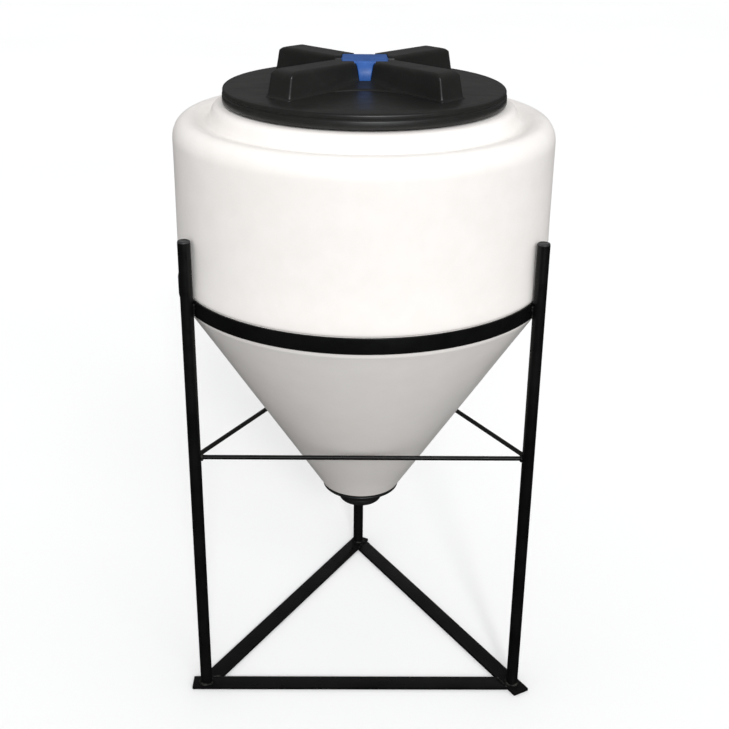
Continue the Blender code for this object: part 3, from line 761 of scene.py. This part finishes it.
# A lobe going up: depth below the vent's top, half-width, radius of the fillet between two lobes
VENT_SECTION = (
    (0.0380, 0.0113, 0.0050), (0.0290, 0.0121, 0.0055), (0.0180, 0.0138, 0.0065),
    (0.0090, 0.0158, 0.0080), (0.0055, 0.0174, 0.0090), (0.0036, 0.0194, 0.0100),
    (0.0028, 0.0206, 0.0110),
)


def vent_outlines(grow, slope=0.0):
    """The vent's plus shape from foot to top: grown for its hollow, or its ends sloped in."""
    outlines = []
    for depth, half_width, inner in VENT_SECTION:
        near_top = max(0.0, 1 - max(0.0, depth - VENT_PLATE_T / 2) / 0.018)
        reach = VENT_REACH - 0.06 * depth + grow - slope * near_top
        inner = max(0.002, inner - grow)
        outlines.append(cross_outline(reach, half_width + grow, inner, 0.0022, VENT_TOP - depth))
    return outlines


def square_outline(half, corner, z):
    corners = [(-half, -half), (half, -half), (half, half), (-half, half)]
    return [(x, y, z) for x, y in rounded(corners, corner, 4)]


def vent_pockets():
    """The hollow in the lid for the vent's lobes, and the one for its plate."""
    outlines = vent_outlines(VENT_GAP)
    above = [(x, y, VENT_TOP + CUT_PAST) for x, y, _ in outlines[-1]]
    lobes = stacked(outlines + [above])
    seat, half = VENT_TOP - VENT_PLATE_T - VENT_GAP, VENT_PLATE + 0.0009
    plate = stacked([square_outline(half, 0.004, z) for z in (seat, VENT_TOP + 2 * CUT_PAST)])
    return [(lobes, "DIFFERENCE"), (plate, "DIFFERENCE")]


def grip_hollow(angle):
    """The space under one grip, open below."""
    turn = Matrix.Rotation(angle, 3, "Z")
    outlines = []
    for z, end, half_width in (
        (CROWN - 0.022, GRIP_TOP_L - 0.0055, 0.0243),
        (GRIP_TOP - 0.020, GRIP_TOP_L - 0.0080, 0.0240),
        (GRIP_TOP - 0.0075, GRIP_TOP_L - 0.0200, 0.0215),
        (GRIP_TOP - 0.0050, GRIP_TOP_L - 0.0250, 0.0170),
    ):
        outline = rounded(band(0.070, end, -half_width, half_width), 0.005)
        outlines.append([turn @ Vector((*p, z)) for p in outline])
    return stacked(outlines)


def make_lid():
    lid = shape(lid_skin(), "lid_moulding")
    steps = [(grip_hollow(pi / 4 + i * pi / 2), "DIFFERENCE") for i in range(4)]
    steps += vent_pockets()
    bore = band(0, STEM_BORE_R, CROWN - 0.03, VENT_FOOT - 0.0025 + CUT_PAST)
    steps.append((turned(bore, 48), "DIFFERENCE"))
    ridge = thread_ridge(SKIRT_R, LID_THREAD, LID_LOW + 0.0045, SIDES, True)
    steps.append((ridge, "UNION"))
    combine(lid, steps, 32)
    finish_piece(lid, "lid_body", LID_FINISH, ["lid"])


def make_vent():
    outlines = vent_outlines(0, VENT_REACH - VENT_PLATE)
    outlines[0] = [(x, y, VENT_FOOT) for x, y, _ in outlines[0]]
    outlines.append([(x * 0.985, y * 0.985, z + 0.0004) for x, y, z in outlines[-1]])
    vent = shape(stacked(outlines), "vent_cross")
    levels = ((VENT_PLATE_T, 0.0012), (VENT_PLATE_T - 0.0006, 0.0), (0.0016, 0.0))
    levels += ((0.0006, 0.0004), (0.0001, 0.0011), (0.0, 0.0020))
    plate_top = VENT_TOP - 0.0010
    plate = stacked(
        [square_outline(VENT_PLATE - inset, 0.0035, plate_top - depth) for depth, inset in levels]
    )
    stem_r, _, stem_top = box_of("vent_stem")
    socket = band(0, stem_r + GAP, VENT_FOOT - CUT_PAST, stem_top + GAP)
    combine(vent, [(plate, "UNION"), (turned(socket, 32), "DIFFERENCE")])
    finish_piece(vent, "vent", VENT_FINISH, ["vent_cap"])


# ---- rings, seals and small turned pieces


def make_ring(name, node, inner_r, edge, body, slot, material, sides=96):
    """A flat ring with rounded edges in place of a CAD ring."""
    outer_r, low, high = box_of(node)
    ring = shape(turned(rounded(band(inner_r, outer_r, low, high), edge), sides), name)
    finish_piece(ring, body, material, [node])


def make_small_rings():
    seal, steel = ("seal", SEAL_FINISH), ("steel", STEEL_FINISH)
    make_ring("mouth_gasket", "lid_gasket", 0.2525, 0.0020, "lid_gasket_body", *seal, SIDES)
    make_ring("outlet_gasket", "drain_gasket", 0.0390, 0.0010, "tank", *seal)
    make_ring("outlet_plug_seal", "plug_seal", 0.0292, 0.0010, "plug_seal_body", *seal)
    make_ring("vent_valve_seal", "vent_seal", 0.0082, 0.0007, "vent", *seal, 64)
    make_ring("vent_spring_clip", "vent_clip", 0.0043, 0.0008, "vent", *steel, 64)


def make_stem():
    section = rounded(band(0, *box_of("vent_stem")), (0, 0.001, 0.001, 0))
    stem = shape(turned(section, 40), "vent_rod")
    finish_piece(stem, "vent", STEEL_FINISH, ["vent_stem"])


def make_spring():
    outer_r, low, high = box_of("vent_spring")
    wire = 0.0008
    turns, per_turn = 4, 40
    path = []
    for step in range(turns * per_turn + 1):
        share = step / (turns * per_turn)
        flat = 0.5 / turns  # the end coils lie flat
        rise = min(1.0, max(0.0, (share - flat) / (1 - 2 * flat)))
        rise = 0.06 * share + 0.94 * rise
        angle = 2 * pi * step / per_turn
        z = low + wire + (high - low - 2 * wire) * rise
        path.append(((outer_r - wire) * cos(angle), (outer_r - wire) * sin(angle), z))
    spring = shape(tube_along(path, [wire] * len(path), 8), "vent_coil")
    finish_piece(spring, "lid_body", STEEL_FINISH, ["vent_spring"])
    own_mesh(spring)


# ---- drain


def make_drain():
    flange_r, low, high = box_of("drain_fitting")
    flange_top = box_of("drain_gasket")[1] - GAP
    seal_r, _, seal_top = box_of("plug_seal")
    recess_r, recess_z = seal_r + 0.0015, seal_top + GAP
    hub_r, barrel_r, bore_r = 0.0498, 0.0375, 0.0290
    body = [(recess_r, low + 0.001), (recess_r + 0.001, low)]
    body += arc((hub_r - 0.0125, low + 0.0105), 0.0105, 0.0105, -pi / 2, radians(-8), 7)
    hub = ((0.0016, 0.013), (0.0022, 0.0150), (0.0004, 0.0164), (0, 0.0185))
    body += [(hub_r - inset, low + rise) for inset, rise in hub]
    body += [(hub_r, flange_top - 0.0085), (hub_r + 0.0012, flange_top - 0.0066)]
    body += [(hub_r + 0.0034, flange_top - 0.0058), (flange_r - 0.0040, flange_top - 0.0056)]
    body += arc((flange_r - 0.0026, flange_top - 0.0028), 0.0026, 0.0028, -pi / 2, pi / 2, 6)
    body += [(barrel_r, flange_top)]
    for i in range(12):
        z = flange_top + 0.0115 + i * 0.0022
        body += [(barrel_r, z), (barrel_r - 0.0008, z + 0.0011)]
    body += [(barrel_r - 0.0002, high - 0.0010), (barrel_r - 0.0012, high)]
    body += [(bore_r + 0.001, high), (bore_r, high - 0.001), (bore_r, recess_z)]
    fitting = shape(turned([*body, (recess_r, recess_z)], 128), "outlet_fitting")
    ridge = thread_ridge(bore_r, PLUG_THREAD, low + 0.0150, 128, False)
    combine(fitting, [(ridge, "UNION")])
    finish_piece(fitting, "tank", FITTING_FINISH, ["drain_fitting"])


def hexagon(corner_r):
    return [(corner_r * cos(i * pi / 3), corner_r * sin(i * pi / 3)) for i in range(6)]


def make_nut():
    """A moulded lock nut: a hexagon with its corners turned off."""
    _, low, high = box_of("drain_nut")
    corner_r = middle_of("drain_nut").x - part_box("drain_nut")[0].x
    outline = rounded(hexagon(corner_r), 0.006, 4)
    levels = ((0.955, low), (1.0, low + 0.0025), (1.0, high - 0.0025), (0.955, high))
    outlines = [[(x * size, y * size, z) for x, y in outline] for size, z in levels]
    nut = shape(stacked(outlines), "outlet_lock_nut")
    hole = band(0, 0.0378, low - CUT_PAST, high + CUT_PAST)
    combine(nut, [(turned(hole, 96), "DIFFERENCE")])
    finish_piece(nut, "tank", FITTING_FINISH, ["drain_nut"])


def make_plug():
    """The drain plug: a low head with a hexagon socket, on a threaded body."""
    head_r, low, high = box_of("drain_plug")
    head_top = low + 0.0045
    body_r = 0.0260
    profile = [(0, low), (head_r - 0.0030, low), (head_r - 0.0012, low + 0.0004)]
    profile += [(head_r - 0.0002, low + 0.0014), (head_r, head_top - 0.0006)]
    profile += [(head_r - 0.0006, head_top), (body_r + 0.0008, head_top)]
    profile += [(body_r, head_top + 0.0010), (body_r, high - 0.0016)]
    profile += [(body_r - 0.0016, high), (0, high)]
    plug = shape(turned(profile, 120), "outlet_plug")
    key, flare = 0.0095, 1.06  # the socket's corner radius, and how much its mouth flares
    mouth = hexagon(key * flare)
    socket = [[(x, y, z) for x, y in mouth] for z in (low - 0.005, low + 0.0004)]
    socket += [[(x / flare, y / flare, z) for x, y in mouth] for z in (low + 0.0012, low + 0.014)]
    ridge = thread_ridge(body_r, PLUG_THREAD, low + 0.0120, 120, True)
    combine(plug, [(stacked(socket), "DIFFERENCE"), (ridge, "UNION")])
    finish_piece(plug, "plug", FITTING_FINISH, ["drain_plug"])


# ---- stand

HOOP_T = 0.0048
LEG_WALL = 0.0016
LEG_NAMES = ("left", "right", "rear")
LEG_R = box_of("leg_rear")[0]


def leg_centre(name):
    """The leg's axis, in the flat, measured from the tank's axis."""
    centre = middle_of("leg_" + name) - AXIS
    return Vector((centre.x, centre.y, 0))


def finish_stand_piece(piece, *nodes):
    finish_piece(piece, "stand", STAND_FINISH, nodes)


def make_hoop():
    outer_r, low, high = box_of("support_ring")
    section = rounded(band(outer_r - HOOP_T, outer_r, low, high), 0.0011)
    hoop = shape(turned(section, SIDES), "hoop")
    finish_stand_piece(hoop, "support_ring")


def moved(bm, place):
    bmesh.ops.translate(bm, verts=bm.verts[:], vec=place)
    return bm


def make_leg(name):
    _, low, high = box_of("leg_" + name)
    tube = turned(rounded(band(LEG_R - LEG_WALL, LEG_R, low, high), 0.0006), 48)
    leg = shape(moved(tube, leg_centre(name)), "leg_tube_" + name)
    finish_stand_piece(leg, "leg_" + name)


def make_leg_cap(name):
    """A push-in plug with a rounded, slightly dished head."""
    node = "leg_cap_" + name
    _, low, high = box_of(node)
    seat = box_of("leg_" + name)[2] + GAP
    stem_r = LEG_R - LEG_WALL - GAP
    profile = [(0, low), (stem_r - 0.0015, low), (stem_r, low + 0.002), (stem_r, seat)]
    profile += [(LEG_R - 0.0004, seat), (LEG_R, seat + 0.0005), (LEG_R - 0.0002, seat + 0.0017)]
    profile += arc((LEG_R - 0.0035, seat + 0.0017), 0.0031, 0.0024, radians(12), pi / 2, 4)
    profile += [(LEG_R - 0.0050, high - 0.0006), (LEG_R - 0.0064, high - 0.0011)]
    profile.append((0, high - 0.0012))
    cap = shape(moved(turned(profile, 40), leg_centre(name)), "leg_plug_" + name)
    finish_piece(cap, "stand", CAP_FINISH, [node])


def make_brace(name, start, end):
    """A rod between two legs. Returns its two ends and its radius, for the welds."""
    _, low, high = box_of("brace_" + name)
    lift, radius = Vector((0, 0, (low + high) / 2)), (high - low) / 2
    first, last = leg_centre(start), leg_centre(end)
    inset = (last - first).normalized() * (LEG_R + GAP)
    first, last = first + inset + lift, last - inset + lift
    path = straight(first, last, 24)
    rod = shape(tube_along(path, [radius] * len(path), 20), "rod_" + name)
    finish_stand_piece(rod, "brace_" + name)
    return first, last, radius


def bar_corners(node):
    """The four corners of a flat base bar seen from above, in order, from its CAD mesh."""
    points = {(round(v.co.x, 5), round(v.co.y, 5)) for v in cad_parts[node].data.vertices}
    centre = middle_of(node)
    ordered = sorted(points, key=lambda p: atan2(p[1] - centre.y, p[0] - centre.x))
    return [(x - AXIS.x, y - AXIS.y) for x, y in ordered]


def make_base_bar(name):
    node = "base_bar_" + name
    _, low, high = box_of(node)
    corners = bar_corners(node)
    middle = Vector((sum(x for x, _ in corners) / 4, sum(y for _, y in corners) / 4))
    levels = ((0.0010, low), (0.0002, low + 0.0005), (0.0, low + 0.0012))
    levels += ((0.0, high - 0.0012), (0.0003, high - 0.0004), (0.0012, high))
    outlines = []
    for inset, z in levels:
        outline = [Vector(p) for p in rounded(corners, 0.0012 + inset, 2)]
        outlines.append([(*(p - (p - middle).normalized() * inset), z) for p in outline])
    bar = shape(stacked(outlines), "base_flat_" + name)
    finish_stand_piece(bar, node)


# ---- welds


BEAD_R, ROD_BEAD_R, SEAM_BEAD_R = 0.0030, 0.0027, 0.0026


def bead(path, radius, seed):
    """A weld bead: a lumpy rope of overlapping puddles. A closed path has its first point last."""
    closed = (path[0] - path[-1]).length < 1e-7
    radii = []
    travelled = 0.0
    for i, point in enumerate(path):
        travelled += (point - path[i - 1]).length if i else 0
        ripple = 0.10 * cos(2 * pi * travelled / (0.95 * radius))
        lump = 0.22 * noise.noise(point * 140 + Vector((seed, 0, 0)))
        radii.append(radius * (1 + ripple + lump))
    if not closed:
        for i, share in enumerate((0.30, 0.72, 0.92)):
            radii[i] *= share
            radii[-1 - i] *= share
    return tube_along(path, radii, 10)


def straight(start, end, steps):
    return [start.lerp(end, i / steps) for i in range(steps + 1)]


def circle(centre, normal, radius, steps):
    """Points of a circle about centre, the first one again at the end."""
    side = normal.orthogonal().normalized()
    other = normal.normalized().cross(side)
    made = []
    for i in range(steps):
        angle = 2 * pi * i / steps
        made.append(centre + (side * cos(angle) + other * sin(angle)) * radius)
    return made + [made[0].copy()]


def hoop_beads(name, seed):
    """Two upright fillets where the leg touches the hoop."""
    hoop_r, low, high = box_of("support_ring")
    centre = leg_centre(name)
    out = centre.normalized()
    across = Vector((-out.y, out.x, 0))
    beads = []
    for side in (-1, 1):
        foot = out * (hoop_r + 0.0026) + across * side * 0.0088
        start, end = (foot + Vector((0, 0, z)) for z in (low + 0.003, high - 0.003))
        beads.append(bead(straight(start, end, 26), BEAD_R, seed + side))
    return beads


def foot_beads(name, seed):
    """A fillet round the foot of the leg, on the base bar."""
    z = box_of("base_bar_front")[2] + 0.0018
    centre = leg_centre(name) + Vector((0, 0, z))
    return [bead(circle(centre, Vector((0, 0, 1)), LEG_R + 0.0012, 80), BEAD_R, seed)]


def rod_beads(joints, seed):
    """A fillet round the end of each rod, on the leg."""
    beads = []
    for i, (end, away, radius) in enumerate(joints):
        centre = end + away * 0.0016
        beads.append(bead(circle(centre, away, radius + 0.0006, 44), ROD_BEAD_R, seed + i))
    return beads


def seam_bead(end_bar, side_bar, seed):
    """The bead along the top of the joint where one base bar butts against the side of the next."""
    top = box_of("base_bar_front")[2]
    near = [Vector(p) for p in bar_corners("base_bar_" + end_bar)]
    centre = middle_of("base_bar_" + side_bar) - AXIS
    near.sort(key=lambda p: (p - centre.xy).length)
    corners = [Vector(p) for p in bar_corners("base_bar_" + side_bar)]
    sides = [(corners[i], corners[(i + 1) % 4]) for i in range(4)]
    long_sides = sorted(sides, key=lambda pair: -(pair[0] - pair[1]).length)[:2]

    def gap(pair, point):
        along = (pair[1] - pair[0]).normalized()
        away = point - pair[0]
        return abs(away.x * along.y - away.y * along.x)

    best = min(long_sides, key=lambda pair: min(gap(pair, p) for p in near))
    touching = sorted(near, key=lambda p: gap(best, p))[:2]
    start, end = (Vector((p.x, p.y, top - 0.0002)) for p in touching)
    return bead(straight(start.lerp(end, 0.06), start.lerp(end, 0.94), 40), SEAM_BEAD_R, seed)


def make_welds(braces):
    joints = {name: [] for name in LEG_NAMES}
    for (start, end), (first, last, radius) in braces.items():
        along = (last - first).normalized()
        joints[start].append((first, along, radius))
        joints[end].append((last, -along, radius))
    seams = {"right": ("front", "right"), "left": ("left", "front"), "rear": ("right", "left")}
    for i, name in enumerate(LEG_NAMES):
        beads = hoop_beads(name, 10 * i) + foot_beads(name, 10 * i + 3)
        beads += rod_beads(joints[name], 10 * i + 5)
        beads.append(seam_bead(*seams[name], 10 * i + 8))
        weld = shape(merged(beads), "welds_" + name, 60)
        finish_piece(weld, "stand", WELD_FINISH, [])


def make_stand():
    make_hoop()
    for name in LEG_NAMES:
        make_leg(name)
        make_leg_cap(name)
    braces = {
        ("left", "right"): make_brace("front", "left", "right"),
        ("rear", "left"): make_brace("left", "rear", "left"),
        ("right", "rear"): make_brace("right", "right", "rear"),
    }
    for name in ("front", "left", "right"):
        make_base_bar(name)
    make_welds(braces)


# ---- studio

FLOOR_HALF, FLOOR_Z = 40.0, -0.0004
CAMERA_PLACE = Vector((0.0062, -2.3753, 1.7382))
CAMERA_LENS = 58.87
CAMERA_PITCH, CAMERA_ROLL, CAMERA_SWING = 0.4119, 0.0114, -0.0146

# Brightness at places along the height or the depth of a direction, each -1 to 1
SOFT_LIGHT = ((-0.50, 0.22), (0.12, 0.96), (0.9, 0.78))
MIRRORED_DEPTH = ((0.0, 0.10), (0.95, 1.0))
MIRRORED_HEIGHT = ((-0.1, 0.035), (0.45, 0.210))

def make_floor():
    bm = bmesh.new()
    corners = band(-FLOOR_HALF, FLOOR_HALF, -FLOOR_HALF, FLOOR_HALF)
    bm.faces.new([bm.verts.new((x, y, 0)) for x, y in corners])
    floor = shape(bm, "floor")
    floor.location = (0, 0, FLOOR_Z)
    surface = Surface("studio_floor", 0.9)
    tone = surface.noise(0.6, detail=2.0)
    surface.colour(surface.blend(surface.spread(tone, 0.3, 0.7), FLOOR_DARK, FLOOR_LIGHT))
    floor.data.materials.append(surface.material)
    floor.visible_diffuse = False
    floor.visible_glossy = False


def make_world():
    """A white studio, dimmer from below. Gloss mirrors a dark room, brighter behind the object."""
    world = bpy.data.worlds.new("studio")
    bpy.context.scene.world = world
    world.use_nodes = True
    tree = world.node_tree
    place = tree.nodes.new("ShaderNodeTexCoord")
    split = tree.nodes.new("ShaderNodeSeparateXYZ")
    tree.links.new(place.outputs["Generated"], split.inputs["Vector"])

    def gradient(output, stops):
        """A colour for each value of one of the direction's parts, from -1 to 1."""
        share = tree.nodes.new("ShaderNodeMapRange")
        share.inputs["From Min"].default_value = -1.0
        tree.links.new(output, share.inputs["Value"])
        ramp = tree.nodes.new("ShaderNodeValToRGB")
        tree.links.new(share.outputs["Result"], ramp.inputs["Fac"])
        elements = ramp.color_ramp.elements
        for i in (1, 0):
            where, tone = stops[-i]
            elements[i].position = (where + 1) / 2
            elements[i].color = (tone, tone, tone, 1)
        for where, tone in stops[1:-1]:
            elements.new((where + 1) / 2).color = (tone, tone, tone, 1)
        return ramp.outputs["Color"]

    def mixed(factor, first, second, kind="MIX"):
        node = tree.nodes.new("ShaderNodeMix")
        node.data_type = "RGBA"
        node.blend_type = kind
        for socket, source in (("Factor", factor), (6, first), (7, second)):
            if isinstance(source, float):
                node.inputs[socket].default_value = source
            else:
                tree.links.new(source, node.inputs[socket])
        return node.outputs[2]

    soft = gradient(split.outputs["Z"], SOFT_LIGHT)
    behind = gradient(split.outputs["Y"], MIRRORED_DEPTH)
    above = gradient(split.outputs["Z"], MIRRORED_HEIGHT)
    mirrored = mixed(1.0, behind, above, "MULTIPLY")
    ray = tree.nodes.new("ShaderNodeLightPath")
    seen = mixed(ray.outputs["Is Glossy Ray"], soft, mirrored)
    tree.links.new(seen, tree.nodes["Background"].inputs["Color"])


def make_sun(name, place, strength, spread, colour=(1.0, 1.0, 1.0)):
    """Parallel light from the side of place, soft by its spread in degrees."""
    data = bpy.data.lights.new(name, "SUN")
    data.energy = strength
    data.angle = radians(spread)
    data.color = colour
    light = bpy.data.objects.new(name, data)
    bpy.context.scene.collection.objects.link(light)
    light.location = AXIS + Vector(place)
    light.rotation_euler = (-Vector(place)).to_track_quat("-Z", "Y").to_euler()


def make_camera():
    """A camera in front, looking a little down and turned slightly about its line of sight."""
    data = bpy.data.cameras.new("camera")
    data.sensor_width = 36.0
    data.lens = CAMERA_LENS
    camera = bpy.data.objects.new("camera", data)
    bpy.context.scene.collection.objects.link(camera)
    forward = Vector((0, cos(CAMERA_PITCH), -sin(CAMERA_PITCH)))
    level = Vector((1, 0, 0))
    up = level.cross(forward)
    right = level * cos(CAMERA_ROLL) + up * sin(CAMERA_ROLL)
    up = up * cos(CAMERA_ROLL) - level * sin(CAMERA_ROLL)
    facing = Matrix((right, up, -forward)).transposed().to_4x4()
    swing = Matrix.Rotation(CAMERA_SWING, 4, "Z")
    place = Matrix.Translation(AXIS) @ swing @ Matrix.Translation(CAMERA_PLACE)
    camera.matrix_world = place @ facing
    bpy.context.scene.camera = camera


def make_studio():
    make_floor()
    make_world()
    make_sun("key", (0.9, -3.6, 1.9), 1.10, 50, (0.97, 1.0, 1.02))
    make_sun("glint", (0.4, -3.0, 1.6), 0.80, 7)
    make_camera()
    bpy.context.scene.view_settings.view_transform = "Standard"


make_tank()
make_lid()
make_vent()
make_stem()
make_spring()
make_small_rings()
make_drain()
make_nut()
make_plug()
make_stand()
make_studio()
